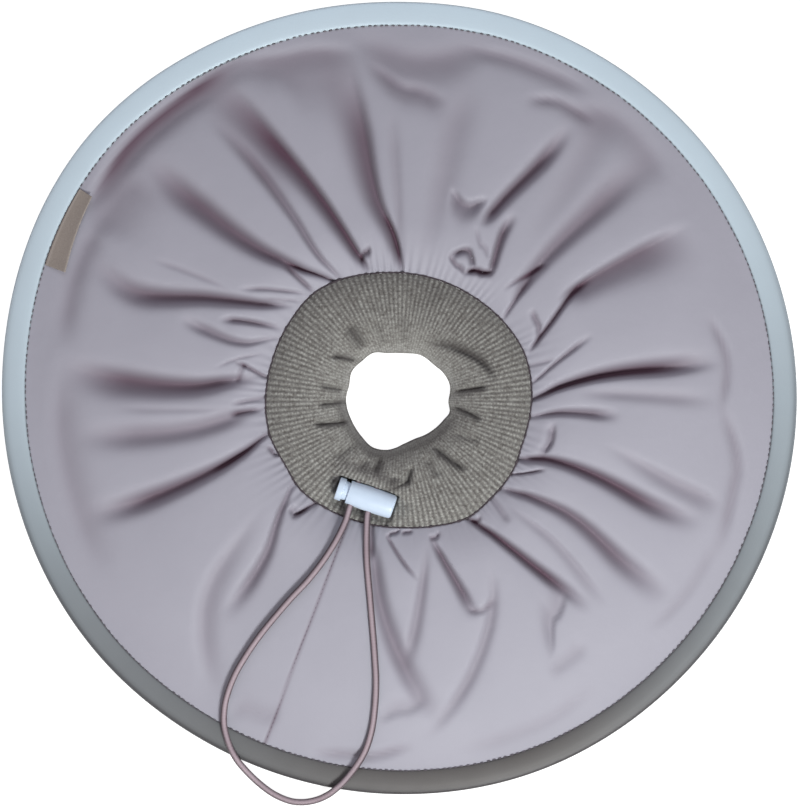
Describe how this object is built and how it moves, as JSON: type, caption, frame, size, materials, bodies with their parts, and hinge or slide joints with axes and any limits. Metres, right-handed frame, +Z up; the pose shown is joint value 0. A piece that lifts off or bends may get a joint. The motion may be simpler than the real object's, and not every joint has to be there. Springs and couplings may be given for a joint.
{
  "type": "soft pet recovery cone",
  "caption": "Soft recovery cone for a small pet, lying flat: gathered cloth wall with a reflective taped rim, rib-knit neck cuff, and a drawcord loop through a sprung cord lock.",
  "frame": {"origin": "on the floor under the middle of the rim", "axes": "+Z up through the neck hole, +Y away from the drawcord's loop, +X to the right of the cone seen from above with the loop nearest"},
  "size_m": [0.3613, 0.365, 0.0243],
  "materials": {
    "lilac_cloth": "smooth matte polyester cloth with a faint sheen",
    "silver_tape": "satin reflective tape",
    "grey_knit": "matte rib knit, grey melange",
    "mauve_cord": "smooth round elastic cord",
    "white_plastic": "semi-gloss moulded plastic",
    "taupe_ribbon": "matte woven ribbon"
  },
  "bodies": {
    "cone": {"shell_panel": "lilac_cloth", "rim_binding": "silver_tape", "neck_cuff": "grey_knit", "drawcord": "mauve_cord", "lock_barrel": "white_plastic", "side_label": "taupe_ribbon"},
    "button": {"lock_button": "white_plastic"}
  },
  "joints": [
    {"name": "button_press", "type": "slide", "parent": "cone", "child": "button", "axis": [0.9444, -0.3289, 0], "range_m": [0, 0.002], "stiffness_N_per_m": 600, "springref_m": -0.002}
  ]
}
